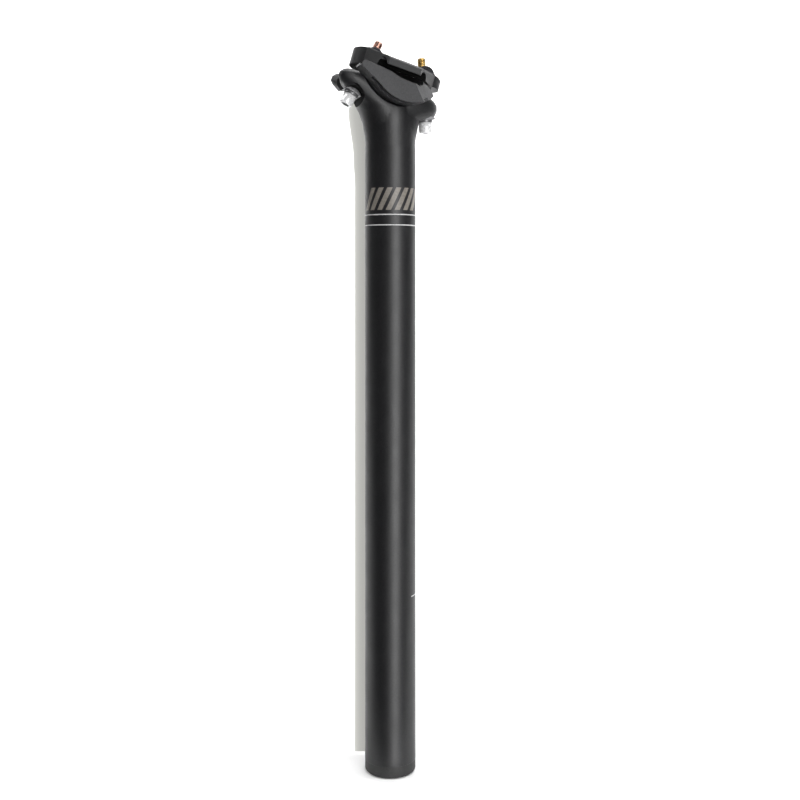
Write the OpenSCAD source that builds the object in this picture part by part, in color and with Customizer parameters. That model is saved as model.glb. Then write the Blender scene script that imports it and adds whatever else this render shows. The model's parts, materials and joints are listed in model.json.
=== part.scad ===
// Two-bolt micro-adjust seatpost: forged head and tube in one piece, rocking cradle,
// upper rail clamp, barrel nuts, bolts with half-round seats, and a plug in the tube.
// X points to the front of the bicycle, Z runs up the tube, Y is to the left.
// The origin is the centre of the tube's lower end.

/* [Tube] */
// Outside diameter of the tube
tube_d = 27.2; // [25.4:0.1:31.6]
// Wall thickness of the tube
tube_wall = 2.2; // [1.6:0.1:3.2]
// Length from the tube's lower end to where the neck starts to flare
tube_len = 326; // [180:1:380]
// Length of solid metal below the flare
neck_solid = 24; // [10:1:60]

/* [End plug] */
// Height of the collar below the tube
plug_collar = 6; // [2:0.5:10]
// Length of the spigot inside the tube
plug_spigot = 13; // [6:1:30]
// Wall thickness of the plug
plug_wall = 1.8; // [1:0.1:3]
// Radial gap between the spigot and the tube
plug_fit = 0.05; // [0.02:0.01:0.2]

/* [Head] */
// Nose-down tilt of the head and clamp
head_tilt = 16; // [0:1:20]
// Distance of the rocking axis in front of the tube's axis
pivot_x = 4; // [0:0.5:8]
// Height of the rocking axis above the start of the flare
pivot_rise = 45.5; // [43:0.5:52]
// Radius of the trough that the cradle rocks in
trough_r = 23; // [22:0.5:24]
// Reach of the rear lug behind the rocking axis
rear_lug = 30.8; // [30:0.2:33]
// Reach of the front lug in front of the rocking axis
front_lug = 27.6; // [27:0.2:30]
// Depth of the lugs' top below the rocking axis
lug_top = 12.3; // [12:0.1:13]
// Width of the forged head
head_w = 26.4; // [24:0.2:27]
// Width of the bolt slots in the lugs
slot_w = 6; // [5.6:0.1:7]

/* [Bolt seats] */
// Distance of the rear bolt's swing axis behind the rocking axis
rear_seat_p = 21.2; // [20.8:0.1:22]
// Distance of the front bolt's swing axis in front of the rocking axis
front_seat_p = 24.4; // [23.8:0.1:25]
// Depth of the rear bolt's swing axis below the rocking axis
rear_seat_q = 26.7; // [26.2:0.1:27.4]
// Depth of the front bolt's swing axis below the rocking axis
front_seat_q = 27.4; // [27:0.1:28]
// Radius of the half-round seats
seat_r = 6.3; // [6.2:0.1:6.6]
// Side-to-side length of the half-round seat pieces
seat_len = 9.6; // [8:0.2:12]

/* [Clamp] */
// Distance between the two saddle rails
rail_spacing = 44; // [40:1:44]
// Diameter of a saddle rail
rail_d = 7; // [6.6:0.1:7.2]
// Depth of the rails' centres below the rocking axis
rail_q = 8.2; // [8:0.1:8.6]
// Gap between the closed clamp and the cradle
clamp_gap = 0.4; // [0.3:0.1:1]
// Distance of each barrel nut from the middle of the clamp
nut_p = 15.1; // [14.6:0.1:15.4]
// Depth of the barrel nuts' centres below the rocking axis
nut_q = 1; // [0.6:0.1:1.6]
// Metal between a barrel nut's centre and the spine's rounded end
nut_end = 10.4; // [10:0.1:12]
// Width of the clamp's spine
spine_w = 18.6; // [17.6:0.2:20]
// Height of the spine's flat top above the rocking axis
spine_top = 1.1; // [0.6:0.1:1.4]
// Length of the clamp's wings along the rails
wing_len = 18; // [15:0.5:19]

/* [Fasteners] */
// Thread diameter of the bolts
bolt_d = 4.8; // [4:0.1:5]
// Length of the rear bolt under its head
rear_bolt_len = 33.3; // [32:0.1:36]
// Length of the front bolt under its head
front_bolt_len = 34.9; // [33:0.1:38]
// Diameter of a bolt's head
bolt_head_d = 7.2; // [7:0.1:8]
// Height of a bolt's head
bolt_head_h = 5.8; // [5:0.1:6]
// Width across the flats of the hexagon socket
socket_af = 4; // [3:0.5:4.5]
// Diameter of a barrel nut
nut_d = 9.5; // [9:0.1:10]
// Length of a barrel nut
nut_len = 13; // [11:0.5:14]
// Diameter of a flat washer
washer_d = 8.2; // [8:0.1:8.6]
// Thickness of a flat washer
washer_t = 1.2; // [0.8:0.1:1.3]

/* [Hidden] */

$fn = 96;
tube_r = tube_d / 2;
bore_r = tube_r - tube_wall;
rail_r = rail_d / 2;
rail_w = rail_spacing / 2;
bolt_r = bolt_d / 2;
nut_r = nut_d / 2;
pivot_z = tube_len + pivot_rise;

// Clearances
rock_gap = 0.15;
nut_gap = 0.1;
thread_gap = 0.25;
seat_gap = 0.08;
face_gap = 0.03;
seat_side = 1.6;
collar_step = 0.1;
slot_gap = 0.6;
eps = 0.01;

// Lean of each bolt from the clamp's normal, worked out from its seat and its nut
rear_lean = atan2(rear_seat_p - nut_p, rear_seat_q - nut_q);
front_lean = -atan2(front_seat_p - nut_p, front_seat_q - nut_q);

// Stack along a bolt, measured up from its swing axis
head_top = bolt_head_h / 2;
washer_top = head_top + face_gap + washer_t;
seat_flat = washer_top + face_gap;

// Frame at the rocking axis: X along the rails, Z square to them
module head_frame() {
    translate([pivot_x, 0, pivot_z])
        rotate([0, head_tilt, 0])
            children();
}

// Frames at the bolts' swing axes, Z along the bolt
module rear_frame() {
    head_frame()
        translate([-rear_seat_p, 0, -rear_seat_q])
            rotate([0, rear_lean, 0])
                children();
}

module front_frame() {
    head_frame()
        translate([front_seat_p, 0, -front_seat_q])
            rotate([0, front_lean, 0])
                children();
}

// Outline that is the same on both sides of the X axis
function both_sides(pts) = concat(pts, [for (i = [len(pts) - 1 : -1 : 0]) [pts[i][0], -pts[i][1]]]);

module across(r, len) {
    rotate([90, 0, 0])
        cylinder(r = r, h = len, center = true);
}

// ---------- post ----------

// A point of the head's frame, as a point of the side view [x, z]
function side(p, q) = [
    pivot_x + p * cos(head_tilt) + q * sin(head_tilt),
    pivot_z - p * sin(head_tilt) + q * cos(head_tilt)
];

// Loft sections: rear point, front point, half width, rear and front squareness
half_w = head_w / 2;
inset = tube_r - 0.25;
narrow = half_w - 0.6;
SECTIONS = [
    [[-inset, tube_len - 16], [inset, tube_len - 16], narrow, 2, 2],
    [[-inset, tube_len], [inset, tube_len - 2], narrow, 2, 2],
    [[-tube_r - 0.2, tube_len + 7], [tube_r + 0.1, tube_len + 5], narrow, 2, 2],
    [[-tube_r - 1.5, tube_len + 14], [tube_r + 1.1, tube_len + 10], narrow + 0.2, 2.1, 2.05],
    [[-tube_r - 3.6, tube_len + 20], [tube_r + 2.7, tube_len + 14.3], half_w - 0.2, 2.3, 2.1],
    [side(13.6 - rear_lug, -lug_top - 14.1), side(front_lug - 7.6, -lug_top - 14.1), half_w, 2.4, 2.15],
    [side(4.3 - rear_lug, -lug_top - 10.7), side(front_lug - 4.2, -lug_top - 12), half_w, 2.4, 2.2],
    [side(1.5 - rear_lug, -lug_top - 8.9), side(front_lug - 1.1, -lug_top - 9.4), half_w, 2.6, 2.3],
    [side(0.3 - rear_lug, -lug_top - 7.2), side(front_lug - 0.2, -lug_top - 7.4), half_w, 3.4, 2.4],
    [side(-rear_lug, -lug_top - 5.2), side(front_lug, -lug_top - 5), half_w, 4.8, 2.5],
    [side(0.6 - rear_lug, -lug_top - 3), side(front_lug - 0.7, -lug_top - 2.8), half_w, 5.4, 2.5],
    [side(1.7 - rear_lug, -lug_top - 1.4), side(front_lug - 2.2, -lug_top - 1.2), half_w - 0.3, 5, 2.4],
    [side(3.3 - rear_lug, -lug_top - 0.4), side(front_lug - 4.6, -lug_top - 0.3), half_w - 0.8, 4.5, 2.4],
    [side(5 - rear_lug, -lug_top), side(front_lug - 6.6, -lug_top), half_w - 1.5, 4, 2.3]
];
LOFT_N = 48;

function power(c, n) = sign(c) * pow(abs(c), 2 / n);
function loft_point(s, a) =
    let (
        n = cos(a) < 0 ? s[3] : s[4],
        u = power(cos(a), n),
        mid = (s[0] + s[1]) / 2,
        half = (s[1] - s[0]) / 2
    )
    [mid[0] + half[0] * u, s[2] * power(sin(a), n), mid[1] + half[1] * u];

module head_blank() {
    rings = len(SECTIONS);
    points = [
        for (s = SECTIONS)
            for (i = [0 : LOFT_N - 1])
                loft_point(s, 360 * i / LOFT_N)
    ];
    bottom = [for (i = [0 : LOFT_N - 1]) i];
    top = [for (i = [LOFT_N - 1 : -1 : 0]) (rings - 1) * LOFT_N + i];
    walls = [
        for (k = [0 : rings - 2])
            for (i = [0 : LOFT_N - 1])
                let (a = k * LOFT_N, j = (i + 1) % LOFT_N)
                    for (t = [[a + i, a + LOFT_N + i, a + j], [a + j, a + LOFT_N + i, a + LOFT_N + j]])
                        t
    ];
    polyhedron(points = points, faces = concat([bottom], [top], walls), convexity = 6);
}

// Slot for a bolt, open to the lug's tip
module open_slot() {
    cylinder(d = slot_w, h = 30);
    translate([-30, -slot_w / 2, 0])
        cube([30, slot_w, 30]);
}

// Slot for a bolt, closed all round
module closed_slot() {
    for (x = [-1, 1])
        translate([x, 0, 0])
            cylinder(d = slot_w, h = 30);
    translate([-1, -slot_w / 2, 0])
        cube([2, slot_w, 30]);
}

// Straight part of the neck, a little slimmer than the tube that the frame holds
neck_r = tube_r - 0.15;
neck_top = tube_len + 28;

module post() {
    lip = 1.2;
    color("#1d1d1f")
    difference() {
        union() {
            cylinder(r = tube_r, h = tube_len);
            translate([0, 0, tube_len])
                cylinder(r1 = tube_r, r2 = neck_r, h = 2);
            cylinder(r = neck_r, h = neck_top);
            head_blank();
        }
        translate([0, 0, -eps])
            cylinder(r = bore_r, h = tube_len - neck_solid + eps);
        translate([0, 0, tube_len - neck_solid])
            cylinder(r1 = bore_r, r2 = 0.5, h = bore_r);
        head_frame() {
            across(trough_r, head_w + 20);
            // bevel on the trough's edges
            for (t = [-90, 90])
                rotate([t, 0, 0])
                    translate([0, 0, half_w - lip])
                        cylinder(r1 = trough_r, r2 = trough_r + 2 * lip, h = 2 * lip);
        }
        rear_frame() {
            across(seat_r, seat_len + 2 * seat_side);
            open_slot();
        }
        front_frame() {
            across(seat_r, seat_len + 2 * seat_side);
            closed_slot();
        }
    }
}

// ---------- end plug ----------

module end_plug() {
    spigot_r = bore_r - plug_fit;
    collar_r = tube_r - collar_step;
    edge = 1.2;
    color("#151515")
    rotate_extrude()
        difference() {
            union() {
                translate([0, -plug_collar])
                    square([collar_r - edge, plug_collar]);
                translate([0, -plug_collar + edge])
                    square([collar_r, plug_collar - edge]);
                translate([collar_r - edge, -plug_collar + edge])
                    circle(r = edge, $fn = 48);
                square([spigot_r, plug_spigot]);
            }
            translate([-eps, -plug_collar + plug_wall])
                square([spigot_r - plug_wall + eps, plug_collar + plug_spigot]);
        }
}

// ---------- cradle ----------

cradle_r = trough_r - rock_gap;
cradle_top = rail_q + clamp_gap / 2;
wing_w = rail_w + rail_r - 0.3;
wing_in = half_w + 0.7;
// round underside of a wing, a little in front of the rocking axis
disc_r = trough_r - 0.7;
disc = [1.2, -1];
tail_p = 24.6;
nose_p = 17.6;
plate = 1.2;
recess = 1.6;
recess_in = 6.5;
recess_q = 15;
notch_w = slot_w + slot_gap;
pocket = 5;
side_wall = 3;
far = 60;

// Wing's tail, which runs on past the round underside
module tail_side() {
    polygon([
        [-7, -cradle_top], [-7, -19], [-9.4, -20.1], [0.9 - tail_p, -13.2], [-tail_p, -12.3],
        [-tail_p, -11.2], [0.8 - tail_p, -9.9], [2.6 - tail_p, -cradle_top]
    ]);
}

// Scoop that lowers the wing's outer lip in front, seen from the side
module scoop_side() {
    polygon([
        [-9, 0], [-9, -9.6], [-6.8, -10.4], [-3.4, -11.6], [0.2, -12.5], [3.4, -12.7],
        [8, -12.5], [far, -12.5], [far, 0]
    ]);
}

// Extrudes a side outline from one distance off the mid-plane to another
module slab(from, to) {
    translate([0, to, 0])
        rotate([90, 0, 0])
            linear_extrude(height = to - from)
                children();
}

module wing_disc(r, from, to) {
    translate([0, to, 0])
        rotate([90, 0, 0])
            translate(disc)
                cylinder(r = r, h = to - from);
}

module wing() {
    difference() {
        union() {
            intersection() {
                wing_disc(disc_r, wing_in, wing_w);
                translate([-13, 0, -far])
                    cube([far, far, far - cradle_top]);
            }
            slab(wing_in, wing_w)
                tail_side();
        }
        // hollow behind the outer plate
        intersection() {
            difference() {
                wing_disc(disc_r + 2, wing_in + recess_in, wing_w - plate);
                wing_disc(disc_r - recess, wing_in + recess_in - 1, wing_w);
            }
            translate([-17, 0, -far])
                cube([far, far, far - recess_q]);
        }
        slab(rail_w, wing_w + 1)
            scoop_side();
        // slope of the top towards the nose
        slab(wing_in - 1, wing_w + 1)
            polygon([[7, 0], [7, -cradle_top], [24, -11.4], [24, 0]]);
        // front facet
        translate([5, wing_w, -12])
            rotate([0, -28, 52])
                translate([0, -far, -far])
                    cube(2 * far);
    }
}

module lower_cradle() {
    color("#3a3a3c")
    head_frame()
    difference() {
        union() {
            intersection() {
                across(cradle_r, 2 * wing_in + 2 * eps);
                translate([nose_p - far, -far / 2, -far])
                    cube([far, far, far - cradle_top]);
            }
            for (m = [0, 1])
                mirror([0, m, 0])
                    wing();
        }
        for (s = [-1, 1])
            translate([0, s * rail_w, -rail_q])
                rotate([0, 90, 0])
                    cylinder(r = rail_r, h = 2 * far, center = true);
        // pocket between the rails
        translate([-nut_p + 5, -wing_in + side_wall, -cradle_top - pocket])
            cube([2 * (nut_p - 5), 2 * (wing_in - side_wall), far]);
        // notches that the bolts pass through
        for (e = [-1, 1])
            translate([e * nut_p, 0, -far / 2]) {
                cylinder(d = notch_w, h = far);
                translate([e > 0 ? 0 : -far, -notch_w / 2, 0])
                    cube([far, notch_w, far]);
            }
    }
}

// ---------- upper clamp ----------

clamp_bottom = rail_q - clamp_gap / 2;
clamp_w = rail_w + rail_r + 0.8;
wing_mid = -2.6;
spine_r = spine_w / 2;
end_p = nut_p + nut_end - spine_r;
crown_r = 126;

// Column over the clamp's plan: the spine's round ends and the wings between them
module clamp_plan() {
    // a wing's flank meets the spine's round end at a slant
    flank = [end_p + 0.62 * spine_r, 0.57 * spine_r];
    for (e = [-1, 1])
        translate([e * end_p, 0, -20])
            cylinder(r = spine_r, h = 30);
    translate([0, 0, -20])
        linear_extrude(height = 30)
            polygon(both_sides([
                [-flank[0], flank[1]], [wing_mid - wing_len / 2, clamp_w],
                [wing_mid + wing_len / 2, clamp_w], flank
            ]));
}

// Outline of the clamp seen along the rails
module clamp_end() {
    rotate(90)
        polygon(both_sides([
            [-clamp_bottom, clamp_w], [-4.9, clamp_w], [-3.9, clamp_w - 1.2],
            [-1.2, spine_r + 1.2], [spine_top - 0.6, spine_r + 0.2], [spine_top + 0.5, spine_r - 1]
        ]));
}

module upper_clamp() {
    color("#262628")
    head_frame()
    difference() {
        intersection() {
            clamp_plan();
            rotate([90, 0, 90])
                translate([0, 0, -40])
                    linear_extrude(height = 80)
                        clamp_end();
            // gentle crown along the spine
            translate([0, 0, spine_top - crown_r])
                across(crown_r, 2 * far);
        }
        for (s = [-1, 1])
            translate([0, s * rail_w, -rail_q])
                rotate([0, 90, 0])
                    cylinder(r = rail_r, h = 80, center = true);
        // hollow under the spine
        translate([-9, -wing_in + 3, -clamp_bottom - 10])
            cube([18, 2 * (wing_in - 3), 10 + 2.5]);
        for (e = [-1, 1]) {
            // seat of a barrel nut, open at the top
            translate([e * nut_p, 0, -nut_q]) {
                across(nut_r + nut_gap, nut_len + 0.6);
                translate([-nut_r - nut_gap, -nut_len / 2 - 0.3, 0])
                    cube([nut_d + 2 * nut_gap, nut_len + 0.6, 10]);
            }
            // slot for the bolt
            translate([e * (nut_p + 1.5), 0, -20]) {
                for (x = [-2.4, 2.4])
                    translate([x, 0, 0])
                        cylinder(d = slot_w, h = 19);
                translate([-2.4, -slot_w / 2, 0])
                    cube([4.8, slot_w, 19]);
            }
        }
    }
}

// ---------- fasteners ----------

module barrel_nut(e, lean) {
    bevel = 0.5;
    color("#1a1a1a")
    head_frame()
        translate([e * nut_p, 0, -nut_q])
            difference() {
                rotate([90, 0, 0])
                    rotate_extrude()
                        polygon([
                            [0, -nut_len / 2], [nut_r - bevel, -nut_len / 2],
                            [nut_r, -nut_len / 2 + bevel], [nut_r, nut_len / 2 - bevel],
                            [nut_r - bevel, nut_len / 2], [0, nut_len / 2]
                        ]);
                rotate([0, lean, 0])
                    cylinder(r = bolt_r + thread_gap, h = 30, center = true);
            }
}

module seat_washer() {
    color("#c9c9cc")
    difference() {
        intersection() {
            across(seat_r - seat_gap, seat_len);
            translate([-10, -10, seat_flat])
                cube([20, 20, 10]);
        }
        cylinder(r = bolt_r + 0.25, h = 20);
    }
}

module flat_washer() {
    color("#d4d4d6")
    translate([0, 0, head_top + face_gap])
        difference() {
            cylinder(d = washer_d, h = washer_t);
            translate([0, 0, -1])
                cylinder(r = bolt_r + 0.2, h = washer_t + 2);
        }
}

module bolt(shank) {
    edge = 0.5;
    head_r = bolt_head_d / 2;
    difference() {
        rotate_extrude()
            polygon([
                [0, -head_top], [head_r - edge, -head_top], [head_r, -head_top + edge],
                [head_r, head_top], [bolt_r, head_top],
                [bolt_r, head_top + shank - 0.7], [bolt_r - 0.7, head_top + shank],
                [0, head_top + shank]
            ]);
        translate([0, 0, -head_top - 1])
            cylinder(d = socket_af / cos(30), h = 1 + bolt_head_h * 0.6, $fn = 6);
    }
}

module rear_barrel_nut() barrel_nut(-1, rear_lean);
module front_barrel_nut() barrel_nut(1, front_lean);
module rear_seat_washer() rear_frame() seat_washer();
module front_seat_washer() front_frame() seat_washer();
module rear_flat_washer() rear_frame() flat_washer();
module front_flat_washer() front_frame() flat_washer();
module rear_bolt() color("#b5694a") rear_frame() bolt(rear_bolt_len);
module front_bolt() color("#b39250") front_frame() bolt(front_bolt_len);

post();
end_plug();
lower_cradle();
upper_clamp();
rear_barrel_nut();
front_barrel_nut();
rear_seat_washer();
front_seat_washer();
rear_flat_washer();
front_flat_washer();
rear_bolt();
front_bolt();
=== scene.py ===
import json
import math

import bmesh
import bpy
from mathutils import Matrix, Vector


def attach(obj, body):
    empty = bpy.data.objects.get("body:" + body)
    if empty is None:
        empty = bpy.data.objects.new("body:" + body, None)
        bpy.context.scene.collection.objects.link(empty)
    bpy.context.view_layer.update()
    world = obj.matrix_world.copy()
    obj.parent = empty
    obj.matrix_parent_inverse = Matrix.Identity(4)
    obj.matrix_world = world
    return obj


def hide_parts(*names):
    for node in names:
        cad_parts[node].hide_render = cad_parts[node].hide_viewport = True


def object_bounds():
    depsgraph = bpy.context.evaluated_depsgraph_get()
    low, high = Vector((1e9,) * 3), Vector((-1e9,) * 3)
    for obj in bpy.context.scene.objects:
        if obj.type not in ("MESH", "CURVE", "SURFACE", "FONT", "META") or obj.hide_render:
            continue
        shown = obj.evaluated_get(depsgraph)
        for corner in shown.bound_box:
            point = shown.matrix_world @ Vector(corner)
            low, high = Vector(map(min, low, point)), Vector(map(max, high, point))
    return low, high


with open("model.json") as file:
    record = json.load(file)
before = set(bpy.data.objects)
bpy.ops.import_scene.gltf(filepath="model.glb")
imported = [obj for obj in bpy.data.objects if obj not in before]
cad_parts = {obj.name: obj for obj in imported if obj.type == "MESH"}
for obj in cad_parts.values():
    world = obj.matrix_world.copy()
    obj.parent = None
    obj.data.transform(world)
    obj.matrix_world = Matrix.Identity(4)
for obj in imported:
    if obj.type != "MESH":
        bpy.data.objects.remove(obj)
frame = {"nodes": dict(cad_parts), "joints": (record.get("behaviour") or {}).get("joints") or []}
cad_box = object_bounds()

# Shapes of the part are in millimetres, the studio and the materials in metres.
# The head's frame starts at the tilt's axis: p runs forward along the saddle rails, w across them and q up.
# A pair of numbers handed to step_up says where a change starts and where it is complete.
MM = 0.001
NODES = frame["nodes"]
JOINTS = {j["name"]: j for j in frame["joints"]}

# ---------------------------------------------------------------- sizes shared with the CAD, in mm
TUBE_R = 13.6
TILT = math.radians(16)
SEAT_R = 6.3
RAIL_R = 3.5
RAIL_W = 22.0
RAIL_Q = 8.2
THREAD_R = 2.4
PITCH = 0.8
HEAD_R = 3.6
HEAD_H = 5.8
SOCKET_AF = 4.0

HEAD = Matrix.Translation(JOINTS["saddle_tilt"]["pos_m"]) @ Matrix.Rotation(TILT, 4, "Y")
FROM_HEAD = HEAD.inverted()

# ---------------------------------------------------------------- the camera, which looks level
YAW = math.radians(18)
FORWARD = Vector((math.sin(YAW), math.cos(YAW), 0))
RIGHT = Vector((math.cos(YAW), -math.sin(YAW), 0))
CAMERA_BACK = 0.5993
CAMERA_RIGHT = 0.00521
CAMERA_UP = 0.258
LENS = 50.2
SENSOR = 36
SHIFT_Y = -0.1545
PICTURE_PX = 800
FOCAL_PX = LENS / SENSOR * PICTURE_PX
HORIZON_ROW_PX = PICTURE_PX * (0.5 + SHIFT_Y)


def bolt_matrix(end):
    """Frame at a bolt's swing axis, Z along the bolt towards its tip."""
    seat = Vector(JOINTS[end + "_seat_swing"]["pos_m"])
    nut = Vector(JOINTS[end + "_nut_swivel"]["pos_m"])
    along = nut - seat
    return Matrix.Translation(seat) @ Matrix.Rotation(math.atan2(along.x, along.z), 4, "Y")


def shank_length(end):
    """Length of a bolt under its head in mm, from the height of the CAD bolt's mesh along its axis."""
    back = bolt_matrix(end).inverted()
    tip = max((back @ v.co).z for v in NODES[end + "_bolt"].data.vertices)
    return tip / MM - HEAD_H / 2


def clamped(value):
    return min(1.0, max(0.0, value))


def step_up(value, start, end):
    """0 before start, 1 after end, smooth between them."""
    t = clamped((value - start) / (end - start))
    return t * t * (3 - 2 * t)


# ---------------------------------------------------------------- material helpers
NOISE_SPAN = (0.3, 0.7)
FORGED_ROUNDING = 0.00035
MOULDED_ROUNDING = 0.0003
TURNED_ROUNDING = 0.00012
BLAST_DEPTH = 0.00007


def new_material(name):
    mat = bpy.data.materials.new(name)
    mat.use_nodes = True
    tree = mat.node_tree
    return mat, tree, tree.nodes["Principled BSDF"]


def noise(tree, scale, detail, roughness):
    coord = tree.nodes.new("ShaderNodeTexCoord")
    tex = tree.nodes.new("ShaderNodeTexNoise")
    tex.inputs["Scale"].default_value = scale
    tex.inputs["Detail"].default_value = detail
    tex.inputs["Roughness"].default_value = roughness
    tree.links.new(coord.outputs["Object"], tex.inputs["Vector"])
    return tex.outputs["Fac"]


def spread(tree, fac, low, high):
    """A number between low and high that follows the noise."""
    span = tree.nodes.new("ShaderNodeMapRange")
    span.inputs["From Min"].default_value, span.inputs["From Max"].default_value = NOISE_SPAN
    span.inputs["To Min"].default_value = low
    span.inputs["To Max"].default_value = high
    tree.links.new(fac, span.inputs["Value"])
    return span.outputs["Result"]


def tint(tree, fac, dark, light):
    """A colour between dark and light that follows the noise."""
    ramp = tree.nodes.new("ShaderNodeValToRGB")
    for stop, at, colour in zip(ramp.color_ramp.elements, NOISE_SPAN, (dark, light)):
        stop.position = at
        stop.color = (*colour, 1)
    tree.links.new(fac, ramp.inputs["Fac"])
    return ramp.outputs["Color"]


def bump(tree, shader, heights, rounding=0.0):
    """heights: (value, distance in metres, strength), laid one over the other on rounded edges."""
    normal = None
    if rounding:
        bevel = tree.nodes.new("ShaderNodeBevel")
        bevel.samples = 4
        bevel.inputs["Radius"].default_value = rounding
        normal = bevel.outputs["Normal"]
    for value, distance, strength in heights:
        relief = tree.nodes.new("ShaderNodeBump")
        relief.inputs["Distance"].default_value = distance
        relief.inputs["Strength"].default_value = strength
        tree.links.new(value, relief.inputs["Height"])
        if normal:
            tree.links.new(normal, relief.inputs["Normal"])
        normal = relief.outputs["Normal"]
    tree.links.new(normal, shader.inputs["Normal"])


# ---------------------------------------------------------------- materials
def anodised(name, dark, light, rough, gloss=0.5):
    """Sandblasted, black anodised aluminium."""
    mat, tree, shader = new_material(name)
    fine = noise(tree, 2600, 3, 0.6)
    blast = noise(tree, 1100, 4, 0.65)
    soft = noise(tree, 90, 3, 0.5)
    tree.links.new(tint(tree, blast, dark, light), shader.inputs["Base Color"])
    tree.links.new(spread(tree, soft, rough - 0.03, rough + 0.03), shader.inputs["Roughness"])
    shader.inputs["Specular IOR Level"].default_value = gloss
    bump(tree, shader, [(fine, BLAST_DEPTH * 0.4, 0.4), (blast, BLAST_DEPTH, 0.6)], FORGED_ROUNDING)
    return mat


def metal(name, dark, light, rough, metallic=1.0):
    """Plated or turned steel."""
    mat, tree, shader = new_material(name)
    streaks = noise(tree, 700, 4, 0.55)
    tree.links.new(tint(tree, streaks, dark, light), shader.inputs["Base Color"])
    tree.links.new(spread(tree, streaks, rough * 0.75, rough * 1.3), shader.inputs["Roughness"])
    shader.inputs["Metallic"].default_value = metallic
    bump(tree, shader, [(streaks, 0.00002, 0.2)], TURNED_ROUNDING)
    return mat


def plastic(name, dark, light, rough):
    """Moulded plastic with a fine texture."""
    mat, tree, shader = new_material(name)
    fine = noise(tree, 1500, 3, 0.6)
    tree.links.new(tint(tree, fine, dark, light), shader.inputs["Base Color"])
    tree.links.new(spread(tree, fine, rough - 0.05, rough + 0.08), shader.inputs["Roughness"])
    bump(tree, shader, [(fine, 0.00004, 0.4)], MOULDED_ROUNDING)
    return mat


def paint(name, dark, light, rough, gloss=0.5):
    """Print, other thin coats and painted shade, nearly flat."""
    mat, tree, shader = new_material(name)
    fine = noise(tree, 900, 2, 0.5)
    tree.links.new(tint(tree, fine, dark, light), shader.inputs["Base Color"])
    tree.links.new(spread(tree, fine, rough - 0.04, rough + 0.06), shader.inputs["Roughness"])
    shader.inputs["Specular IOR Level"].default_value = gloss
    bump(tree, shader, [(fine, 0.00001, 0.2)])
    return mat


POST_BLACK = anodised("post_black", (0.004, 0.004, 0.005), (0.011, 0.011, 0.012), 0.44)
CRADLE_BLACK = anodised("cradle_black", (0.022, 0.022, 0.024), (0.034, 0.034, 0.036), 0.44, 0.26)
CLAMP_BLACK = anodised("clamp_black", (0.010, 0.010, 0.011), (0.016, 0.016, 0.017), 0.44, 0.28)
# Painted shade: a dull near-black laid on the rail grooves, the scoop beside them and the seat channel,
# standing in for the shade that falls there.
PAINTED_SHADE_BLACK = paint("painted_recess_shade", (0.001, 0.001, 0.001), (0.002, 0.002, 0.002), 0.85, 0.1)
PLUG_BLACK = plastic("plug_black", (0.010, 0.010, 0.010), (0.022, 0.022, 0.022), 0.55)
NUT_BLACK = metal("nut_black", (0.010, 0.010, 0.011), (0.022, 0.022, 0.024), 0.42)
CHROME = metal("bolt_chrome", (0.78, 0.78, 0.79), (0.84, 0.84, 0.84), 0.26, 0.25)
SOCKET = metal("socket_steel", (0.16, 0.16, 0.16), (0.30, 0.30, 0.30), 0.35)
COPPER = metal("thread_copper", (0.52, 0.32, 0.26), (0.72, 0.50, 0.43), 0.26)
BRASS = metal("thread_brass", (0.40, 0.27, 0.09), (0.62, 0.46, 0.20), 0.26)
WASHER = metal("washer_steel", (0.12, 0.12, 0.125), (0.18, 0.18, 0.185), 0.30, 0.3)
RING_WHITE = paint("ring_white", (0.46, 0.46, 0.46), (0.58, 0.58, 0.58), 0.5)
PRINT_BRONZE = paint("print_bronze", (0.155, 0.140, 0.122), (0.215, 0.195, 0.172), 0.42)
BAND_BLACK = paint("band_black", (0.005, 0.005, 0.006), (0.009, 0.009, 0.010), 0.45)

# ---------------------------------------------------------------- CAD nodes that stay
WELD_DISTANCE = 1e-6
CREASE = math.radians(30)


def weld(o):
    o.modifiers.new("weld", "WELD").merge_threshold = WELD_DISTANCE


def soften(o):
    """Soft shading between faces that meet at less than the crease."""
    o.data.shade_smooth()
    weld(o)
    split = o.modifiers.new("crease", "EDGE_SPLIT")
    split.split_angle = CREASE
    split.use_edge_sharp = False
    even = o.modifiers.new("even", "WEIGHTED_NORMAL")
    even.keep_sharp = False


KEPT = {
    "end_plug": PLUG_BLACK,
    "rear_barrel_nut": NUT_BLACK,
    "front_barrel_nut": NUT_BLACK,
    "rear_seat_washer": WASHER,
    "front_seat_washer": WASHER,
    "rear_flat_washer": WASHER,
    "front_flat_washer": WASHER,
}
for name, mat in KEPT.items():
    NODES[name].data.materials.clear()
    NODES[name].data.materials.append(mat)
    soften(NODES[name])


# ---------------------------------------------------------------- helpers for pieces made here
def add_piece(name, mesh, body, mats):
    """A new piece that rides a body of the frame."""
    o = bpy.data.objects.new(name, mesh)
    bpy.context.scene.collection.objects.link(o)
    for m in mats:
        mesh.materials.append(m)
    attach(o, body)
    return o


def made_mesh(name, bm):
    mesh = bpy.data.meshes.new(name)
    bm.to_mesh(mesh)
    bm.free()
    return mesh


def circle_point(radius, angle, z):
    """Millimetres about Z, given back in metres."""
    return (radius * math.cos(angle) * MM, radius * math.sin(angle) * MM, z * MM)


# ---------------------------------------------------------------- forgings, reshaped in the head's frame
def reshaped(node_name, name, body, mat, move):
    """A copy of a node's mesh with its points moved, p, w and q in mm; it takes the node's place."""
    mesh = NODES[node_name].data.copy()
    mesh.name = name
    mesh.materials.clear()
    for v in mesh.vertices:
        v.co = HEAD @ (Vector(move(*(FROM_HEAD @ v.co / MM))) * MM)
    o = add_piece(name, mesh, body, [mat])
    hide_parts(node_name)
    return o


GROOVE_MARGIN = 0.1
SCOOP_W = (RAIL_W - 0.1, 24.9)
SCOOP_Q = (-13.2, -9)
SCOOP_END_P = 9


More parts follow.
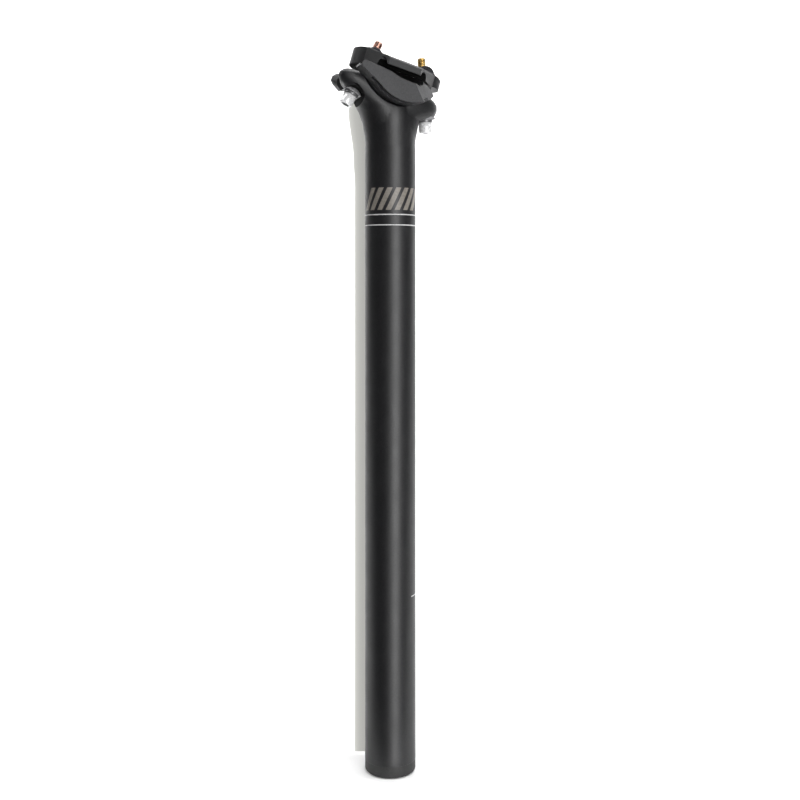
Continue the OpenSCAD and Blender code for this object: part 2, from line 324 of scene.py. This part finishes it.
def paint_groove_shade(o):
    """Paints shade on the rail grooves and the scoop beside them: a dull black that stands in for the shade
    in the gap.
    """
    o.data.materials.append(PAINTED_SHADE_BLACK)
    for face in o.data.polygons:
        p, w, q = FROM_HEAD @ face.center / MM
        in_groove = math.hypot(abs(w) - RAIL_W, q + RAIL_Q) < RAIL_R + GROOVE_MARGIN
        in_scoop = SCOOP_W[0] < abs(w) < SCOOP_W[1] and SCOOP_Q[0] < q < SCOOP_Q[1] and p < SCOOP_END_P
        if in_groove or in_scoop:
            face.material_index = 1


LIP_DROP = 1.1
LIP_RISE = 0.7
LIP_Q = (-15, -8.7)
LIP_W = (14, 16)
LIP_BACK_FROM = (-2, 4)
LIP_BACK_TO = (-24, -17)
LIP_FRONT = (8, 13)


def cradle_shape(p, w, q):
    """The wings' lip beside the gap stands a little lower at the back and higher in front."""
    lip = step_up(q, *LIP_Q) * step_up(abs(w), *LIP_W)
    back = step_up(-p, *LIP_BACK_FROM) * step_up(p, *LIP_BACK_TO)
    front = step_up(p, *LIP_FRONT)
    return p, w, q + lip * (LIP_RISE * front - LIP_DROP * back)


SPINE_MID_Q = -5
SPINE_LIFT = 2.6
SPINE_LIFT_REARWARD = (8, 25)
NOSE_RISE = 1.5
NOSE_RISE_FORWARD = (12, 24)


def clamp_shape(p, w, q):
    """The spine's top rises towards its rear end, and its underside towards its front end."""
    if q > SPINE_MID_Q:
        q += SPINE_LIFT * step_up(-p, *SPINE_LIFT_REARWARD)
    elif q < SPINE_MID_Q:
        q += NOSE_RISE * step_up(p, *NOSE_RISE_FORWARD)
    return p, w, q


FORK_START = 18
FORK_END = 29
FORK_FLOOR_Q = -24
SLOT_CORNER_CUT = 1.8
SLOT_CORNER = (-7.5, -3)
FINGERTIP = 1.4
FINGERTIP_IN = (6, 8.5)
FINGERTIP_OUT = (-13.2, -10.5)


def post_shape(p, w, q):
    """The prongs of the rear fork are shorter beside the slot and end in fingertips."""
    if p < -FORK_START and q > FORK_FLOOR_Q:
        side = abs(w)
        corner = SLOT_CORNER_CUT * step_up(-side, *SLOT_CORNER)
        tip = FINGERTIP * step_up(side, *FINGERTIP_IN) * step_up(-side, *FINGERTIP_OUT)
        p += (corner - tip) * step_up(-p, FORK_START, FORK_END)
    return p, w, q


CHANNEL_LENGTH = 34
CHANNEL_MARGIN = 0.05


def carve(o, tool_mesh):
    """Cuts a closed mesh out of a piece."""
    weld(o)
    tool = bpy.data.objects.new("cutter", tool_mesh)
    bpy.context.scene.collection.objects.link(tool)
    cut = o.modifiers.new("cut", "BOOLEAN")
    cut.operation = "DIFFERENCE"
    cut.solver = "EXACT"
    cut.object = tool
    graph = bpy.context.evaluated_depsgraph_get()
    made = bpy.data.meshes.new_from_object(o.evaluated_get(graph))
    o.modifiers.clear()
    o.data = made
    bpy.data.objects.remove(tool)


def open_channel(o, end):
    """Opens a lug's seat channel through its whole width, with painted shade inside: a dull black that
    stands in for the shade there.
    """
    at_seat = bolt_matrix(end)
    bm = bmesh.new()
    bmesh.ops.create_cone(
        bm, cap_ends=True, segments=96, radius1=SEAT_R * MM, radius2=SEAT_R * MM, depth=CHANNEL_LENGTH * MM,
        matrix=at_seat @ Matrix.Rotation(math.radians(90), 4, "X"),
    )
    carve(o, made_mesh(end + "_channel", bm))
    o.data.materials.append(PAINTED_SHADE_BLACK)
    from_seat = at_seat.inverted()
    for face in o.data.polygons:
        x, y, z = from_seat @ face.center / MM
        if abs(math.hypot(x, z) - SEAT_R) < CHANNEL_MARGIN and abs(y) < CHANNEL_LENGTH / 2:
            face.material_index = 1


cradle = reshaped("lower_cradle", "cradle_forging", "rail_clamp", CRADLE_BLACK, cradle_shape)
paint_groove_shade(cradle)
soften(cradle)

clamp = reshaped("upper_clamp", "clamp_forging", "rail_clamp", CLAMP_BLACK, clamp_shape)
paint_groove_shade(clamp)
soften(clamp)

post = reshaped("post", "post_forging", "post", POST_BLACK, post_shape)
open_channel(post, "rear")
soften(post)

# ---------------------------------------------------------------- print on the tube, in mm
PRINT_SINK = 0.05
PRINT_PROUD = 0.02
RING_PROUD = 0.035
RING_EDGE = 0.1
RING_H = 0.55
RING_UPPER_Z = 290.6
RING_LOWER_Z = 285.1
BAND_MARGIN = 0.3
BAND_SEG = 144


def band(name, z_mm, height_mm, mat, proud_mm):
    """A printed ring: a thin closed sleeve on the tube."""
    bm = bmesh.new()
    half = height_mm / 2
    shoulder = TUBE_R + proud_mm * 0.6
    profile = [
        (TUBE_R - PRINT_SINK, -half),
        (shoulder, -half),
        (TUBE_R + proud_mm, -half + RING_EDGE),
        (TUBE_R + proud_mm, half - RING_EDGE),
        (shoulder, half),
        (TUBE_R - PRINT_SINK, half),
    ]
    loops = []
    for k in range(BAND_SEG):
        angle = 2 * math.pi * k / BAND_SEG
        loops.append([bm.verts.new(circle_point(r, angle, z_mm + z)) for r, z in profile])
    for k in range(BAND_SEG):
        here, there = loops[k], loops[(k + 1) % BAND_SEG]
        for i in range(len(profile)):
            j = (i + 1) % len(profile)
            bm.faces.new((here[i], there[i], there[j], here[j])).smooth = True
    bmesh.ops.recalc_face_normals(bm, faces=bm.faces)
    return add_piece(name, made_mesh(name, bm), "post", [mat])


def on_tube(angle, z_mm, lift):
    """A point on the tube's skin, its angle taken from the side that faces the camera."""
    out = RIGHT * math.sin(angle) - FORWARD * math.cos(angle)
    return out * ((TUBE_R + lift) * MM) + Vector((0, 0, z_mm * MM))


def patch_skin(bm, start, end, low, high, slant, lift, across=12, up=8):
    """Rows of points on the tube, from the low edge to the high one."""
    rows = []
    for j in range(up + 1):
        z_mm = low + (high - low) * j / up
        turn = slant * j / up
        angles = [start + (end - start) * i / across + turn for i in range(across + 1)]
        rows.append([bm.verts.new(on_tube(angle, z_mm, lift)) for angle in angles])
    return rows


def patch_rim(skin):
    """The points round a skin's edge, in order."""
    right_side = [row[-1] for row in skin]
    left_side = [row[0] for row in skin]
    return skin[0][:-1] + right_side[:-1] + skin[-1][:0:-1] + left_side[:0:-1]


def printed_bar(bm, start, end, low, high, slant=0.0):
    """A thin closed patch of print; slant turns its top edge round the tube."""
    skins = [patch_skin(bm, start, end, low, high, slant, lift) for lift in (-PRINT_SINK, PRINT_PROUD)]
    for skin in skins:
        for lower, upper in zip(skin, skin[1:]):
            for i in range(len(lower) - 1):
                bm.faces.new((lower[i], lower[i + 1], upper[i + 1], upper[i]))
    inner, outer = [patch_rim(skin) for skin in skins]
    for i in range(len(inner)):
        j = (i + 1) % len(inner)
        bm.faces.new((inner[i], inner[j], outer[j], outer[i]))


def print_on_tube(name, mat, bars):
    bm = bmesh.new()
    for bar in bars:
        printed_bar(bm, *bar)
    bmesh.ops.recalc_face_normals(bm, faces=bm.faces)
    return add_piece(name, made_mesh(name, bm), "post", [mat])


BAR_COUNT = 7
BAR_FIRST = math.radians(-70)
BAR_STEP = math.radians(20)
BAR_WIDTH = math.radians(12)
BAR_SLANT = math.radians(24)
BAR_LOW_Z = 293.0
BAR_HIGH_Z = 304.8
INSERTION_Z = 88.0
INSERTION_H = 0.5
INSERTION_FROM = math.radians(56)
INSERTION_TO = math.radians(124)


def slanted_bar(k):
    start = BAR_FIRST + k * BAR_STEP
    return start, start + BAR_WIDTH, BAR_LOW_Z, BAR_HIGH_Z, BAR_SLANT


band("ring_upper", RING_UPPER_Z, RING_H, RING_WHITE, RING_PROUD)
band("ring_lower", RING_LOWER_Z, RING_H, RING_WHITE, RING_PROUD)
band(
    "ring_band", (RING_UPPER_Z + RING_LOWER_Z) / 2, RING_UPPER_Z - RING_LOWER_Z - 2 * BAND_MARGIN,
    BAND_BLACK, PRINT_PROUD,
)
print_on_tube("slant_band", PRINT_BRONZE, [slanted_bar(k) for k in range(BAR_COUNT)])
print_on_tube(
    "insertion_line", RING_WHITE, [(INSERTION_FROM, INSERTION_TO, INSERTION_Z, INSERTION_Z + INSERTION_H)]
)

# ---------------------------------------------------------------- bolts, in mm
BOLT_SEG = 96
HEAD_NECK = 0.25
HEAD_CHAMFER = 0.2
HEAD_ROUNDING = 0.55
ROUNDING_STEPS = 5
SOCKET_CHAMFER = 0.22
SOCKET_DEPTH = HEAD_H * 0.62
SOCKET_TIP_R = 0.6
SOCKET_TIP_H = 0.5
THREAD_DEPTH = 0.42
THREAD_CREST = 0.12
THREAD_FLANK = 0.76
STEPS_PER_TURN = 12
PLAIN_SHANK = 2.2
THREAD_START = 0.8
TIP_CHAMFER = 0.7


def hexagon(angle):
    """Radius of the socket's hexagon at an angle."""
    sixth = math.pi / 3
    return SOCKET_AF / 2 / math.cos((angle + sixth / 2) % sixth - sixth / 2)


def loop_of(bm, radius_at, z):
    angles = [2 * math.pi * k / BOLT_SEG for k in range(BOLT_SEG)]
    return [bm.verts.new(circle_point(radius_at(angle), angle, z)) for angle in angles]


def join_loops(bm, lower, upper, material):
    for k in range(BOLT_SEG):
        j = (k + 1) % BOLT_SEG
        face = bm.faces.new((lower[k], upper[k], upper[j], lower[j]))
        face.smooth = True
        face.material_index = material


def bolt_head(bm):
    """Cap screw head with a hexagon socket, from under the head down to its face and into the socket."""
    top, bottom = HEAD_H / 2, -HEAD_H / 2
    core = HEAD_R - HEAD_ROUNDING
    outside = [
        (THREAD_R * 0.9, top),
        (HEAD_R - HEAD_NECK, top),
        (HEAD_R, top - HEAD_CHAMFER),
        (HEAD_R, bottom + HEAD_ROUNDING),
    ]
    for i in range(1, ROUNDING_STEPS + 1):
        a = math.radians(90 * i / ROUNDING_STEPS)
        outside.append((core + HEAD_ROUNDING * math.cos(a), bottom + HEAD_ROUNDING * (1 - math.sin(a))))
    outside.append((hexagon(math.pi / 6) + SOCKET_CHAMFER, bottom))
    loops = [loop_of(bm, lambda angle: r, z) for r, z in outside]
    loops.append(loop_of(bm, hexagon, bottom + SOCKET_CHAMFER))
    for lower, upper in zip(loops, loops[1:]):
        join_loops(bm, lower, upper, 0)
    wall = loop_of(bm, hexagon, bottom + SOCKET_DEPTH)
    floor = loop_of(bm, lambda angle: SOCKET_TIP_R, bottom + SOCKET_DEPTH + SOCKET_TIP_H)
    join_loops(bm, loops[-1], wall, 1)
    join_loops(bm, wall, floor, 1)
    bm.faces.new(floor[::-1]).material_index = 1
    return loops[0]


def thread(bm, first, z0, length):
    """Rolled thread from z0 up, joined to the loop first; ends in a chamfered tip."""
    step = PITCH / STEPS_PER_TURN
    lower = first
    for i in range(int(length / step) + 1):
        rise = i * step
        start = clamped((rise - PLAIN_SHANK) / THREAD_START)
        chamfer = max(0.0, TIP_CHAMFER - (length - rise))

        def radius_at(angle):
            phase = (rise / PITCH - angle / (2 * math.pi)) % 1.0
            fall = clamped((abs(phase - 0.5) * 2 - THREAD_CREST) / THREAD_FLANK)
            return min(THREAD_R - THREAD_DEPTH * fall * start, THREAD_R - chamfer)

        upper = loop_of(bm, radius_at, z0 + rise)
        join_loops(bm, lower, upper, 2)
        lower = upper
    bm.faces.new(lower).material_index = 2


def make_bolt(end, thread_mat):
    bm = bmesh.new()
    thread(bm, bolt_head(bm), HEAD_H / 2, shank_length(end))
    bmesh.ops.recalc_face_normals(bm, faces=bm.faces)
    bm.transform(bolt_matrix(end))
    name = end + "_cap_bolt"
    o = add_piece(name, made_mesh(name, bm), end + "_bolt", [CHROME, SOCKET, thread_mat])
    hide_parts(end + "_bolt")


make_bolt("rear", COPPER)
make_bolt("front", BRASS)

# ---------------------------------------------------------------- stage, in metres
FLOOR_Z = cad_box[0][2] - 0.0002
SHEET_BACK = 0.75
SHEET_BEND = 0.35
SHEET_TOP = 2.2
SHEET_HALF = 2.4
BEND_STEPS = 12
FLOOR_FRONT = -1.6
FLOOR_SPLIT = -0.03


def stage_mesh(name, verts, faces, mat):
    mesh = bpy.data.meshes.new(name)
    mesh.from_pydata(verts, [], faces)
    mesh.shade_smooth()
    mesh.materials.append(mat)
    o = bpy.data.objects.new(name, mesh)
    bpy.context.scene.collection.objects.link(o)
    return o


def strip_faces(count):
    """Faces of a strip whose points come in pairs."""
    return [(2 * i, 2 * i + 1, 2 * i + 3, 2 * i + 2) for i in range(count - 1)]


def only_seen(o):
    """Seen by the camera, but without any effect on light and reflections."""
    o.visible_shadow = False
    o.visible_glossy = False
    o.visible_diffuse = False


def sweep(name, path, mat):
    """A pale sheet, level across and bent along the path of (distance behind the object, height)."""
    verts = []
    for back, up in path:
        for side in (-SHEET_HALF, SHEET_HALF):
            verts.append(FORWARD * back + RIGHT * side + Vector((0, 0, FLOOR_Z + up)))
    return stage_mesh(name, verts, strip_faces(len(path)), mat)


def sheet_bend(angle):
    return SHEET_BACK - SHEET_BEND + SHEET_BEND * math.sin(angle), SHEET_BEND - SHEET_BEND * math.cos(angle)


def studio_sheet():
    """A white sheet that bends up behind the object. Its front part lets the strip light pass."""
    mat, tree, shader = new_material("studio_white")
    shader.inputs["Base Color"].default_value = (0.90, 0.90, 0.90, 1)
    shader.inputs["Roughness"].default_value = 0.9
    bend = [sheet_bend(math.radians(90 * i / BEND_STEPS)) for i in range(BEND_STEPS + 1)]
    sweep("studio_sweep", [(FLOOR_SPLIT, 0.0)] + bend + [(SHEET_BACK, SHEET_TOP)], mat)
    only_seen(sweep("studio_floor", [(FLOOR_FRONT, 0.0), (FLOOR_SPLIT, 0.0)], mat))


def sheet_point(along):
    """Distance behind the object and height of the sheet, after this length of it from the object's foot."""
    flat = SHEET_BACK - SHEET_BEND
    turn = SHEET_BEND * math.pi / 2
    if along < flat:
        return along, 0.0
    if along < flat + turn:
        return sheet_bend((along - flat) / SHEET_BEND)
    return SHEET_BACK, SHEET_BEND + along - flat - turn


SHADOW_START = 0.02
SHADOW_WALL = 0.13
SHADOW_OFF_SHEET = 0.001
SHADOW_STEPS = 160
SHADOW_LEFT_PX = 354.9
SHADOW_RIGHT_PX = 376.0
NECK_ROWS_PX = (-190, -160)
NECK_WIDENING_PX = 1.4
LUG_ROWS_PX = (-160, -112)
LUG_WIDENING_PX = 5.0
SHADOW_SHADES = ((0.0, 0.72), (0.08, 0.60), (0.22, 0.51), (0.60, 0.40), (1.0, 0.34))


def shadow_left(row):
    """Left edge of the shadow in the picture, in pixels; it widens towards the head."""
    neck = NECK_WIDENING_PX * step_up(-row, *NECK_ROWS_PX)
    lug = LUG_WIDENING_PX * step_up(-row, *LUG_ROWS_PX)
    return SHADOW_LEFT_PX - neck - lug


def shadow_paint():
    """Greys across the shadow, from its left edge to the post."""
    mat, tree, shader = new_material("studio_shadow")
    glow = tree.nodes.new("ShaderNodeEmission")
    coord = tree.nodes.new("ShaderNodeTexCoord")
    split = tree.nodes.new("ShaderNodeSeparateXYZ")
    ramp = tree.nodes.new("ShaderNodeValToRGB")
    tree.links.new(coord.outputs["UV"], split.inputs[0])
    tree.links.new(split.outputs["X"], ramp.inputs["Fac"])
    tree.links.new(ramp.outputs["Color"], glow.inputs["Color"])
    tree.links.new(glow.outputs[0], tree.nodes["Material Output"].inputs["Surface"])
    stops = ramp.color_ramp.elements
    while len(stops) < len(SHADOW_SHADES):
        stops.new(0.5)
    for stop, (at, grey) in zip(stops, SHADOW_SHADES):
        stop.position = at
        stop.color = (grey, grey, grey * 0.95, 1)
    return mat


def studio_shadow():
    """The pale shadow beside the post, laid on the sheet where the photo's camera sees it."""
    flat_and_bend = SHEET_BACK - SHEET_BEND + SHEET_BEND * math.pi / 2
    length = flat_and_bend + SHADOW_WALL - SHADOW_START
    verts = []
    for k in range(SHADOW_STEPS + 1):
        back, up = sheet_point(SHADOW_START + length * k / SHADOW_STEPS)
        depth = CAMERA_BACK + back
        row = HORIZON_ROW_PX - FOCAL_PX * (FLOOR_Z + up - CAMERA_UP) / depth
        height = Vector((0, 0, FLOOR_Z + up + SHADOW_OFF_SHEET))
        for column in (shadow_left(row), SHADOW_RIGHT_PX):
            side = CAMERA_RIGHT + (column - PICTURE_PX / 2) / FOCAL_PX * depth
            verts.append(FORWARD * (back - SHADOW_OFF_SHEET) + RIGHT * side + height)
    o = stage_mesh("studio_shadow", verts, strip_faces(SHADOW_STEPS + 1), shadow_paint())
    across = o.data.uv_layers.new(name="across")
    for loop in o.data.loops:
        across.data[loop.index].uv = (loop.vertex_index % 2, 0.5)
    only_seen(o)


studio_sheet()
studio_shadow()

# ---------------------------------------------------------------- light, in metres and watts
KEY_ANGLE = math.radians(25)
KEY_REACH = 1.3
AIM = Vector((0, 0, 0.25))
WALL_AIM = FORWARD + Vector((0, 0, 0.75))
WORLD_STRENGTH = 0.03


def area_light(name, right, back, up, size, energy, target=AIM):
    """A soft box placed by the camera's own axes; size is its width and height."""
    data = bpy.data.lights.new(name, "AREA")
    data.energy = energy
    data.shape = "RECTANGLE"
    data.size, data.size_y = size
    o = bpy.data.objects.new(name, data)
    bpy.context.scene.collection.objects.link(o)
    o.location = RIGHT * right - FORWARD * back + Vector((0, 0, up))
    o.rotation_euler = (target - o.location).to_track_quat("-Z", "Y").to_euler()


def studio_world():
    """White where the camera looks past the sheet, and dim as a light."""
    world = bpy.data.worlds.new("studio")
    world.use_nodes = True
    tree = world.node_tree
    dim = tree.nodes["Background"]
    dim.inputs["Color"].default_value = (1, 1, 1, 1)
    dim.inputs["Strength"].default_value = WORLD_STRENGTH
    white = tree.nodes.new("ShaderNodeBackground")
    white.inputs["Color"].default_value = (1, 1, 1, 1)
    path = tree.nodes.new("ShaderNodeLightPath")
    mix = tree.nodes.new("ShaderNodeMixShader")
    tree.links.new(path.outputs["Is Camera Ray"], mix.inputs["Fac"])
    tree.links.new(dim.outputs["Background"], mix.inputs[1])
    tree.links.new(white.outputs["Background"], mix.inputs[2])
    tree.links.new(mix.outputs["Shader"], tree.nodes["World Output"].inputs["Surface"])
    bpy.context.scene.world = world


area_light(
    "strip_key", KEY_REACH * math.sin(KEY_ANGLE), KEY_REACH * math.cos(KEY_ANGLE), 0.15, (0.62, 1.8), 25.0
)
area_light("top_soft", 0.25, 0.10, 1.3, (0.4, 0.4), 5.0)
area_light("wall_wash", 0.0, 0.07, 1.05, (2.2, 0.35), 30.0, WALL_AIM)
studio_world()
bpy.context.scene.view_settings.view_transform = "Standard"

# ---------------------------------------------------------------- camera
cam_data = bpy.data.cameras.new("camera")
cam_data.lens = LENS
cam_data.sensor_width = SENSOR
cam_data.sensor_fit = "HORIZONTAL"
cam_data.shift_y = SHIFT_Y
cam_data.clip_start = 0.01
cam = bpy.data.objects.new("camera", cam_data)
bpy.context.scene.collection.objects.link(cam)
cam.location = RIGHT * CAMERA_RIGHT - FORWARD * CAMERA_BACK + Vector((0, 0, CAMERA_UP))
cam.rotation_euler = (math.radians(90), 0, -YAW)
bpy.context.scene.camera = cam
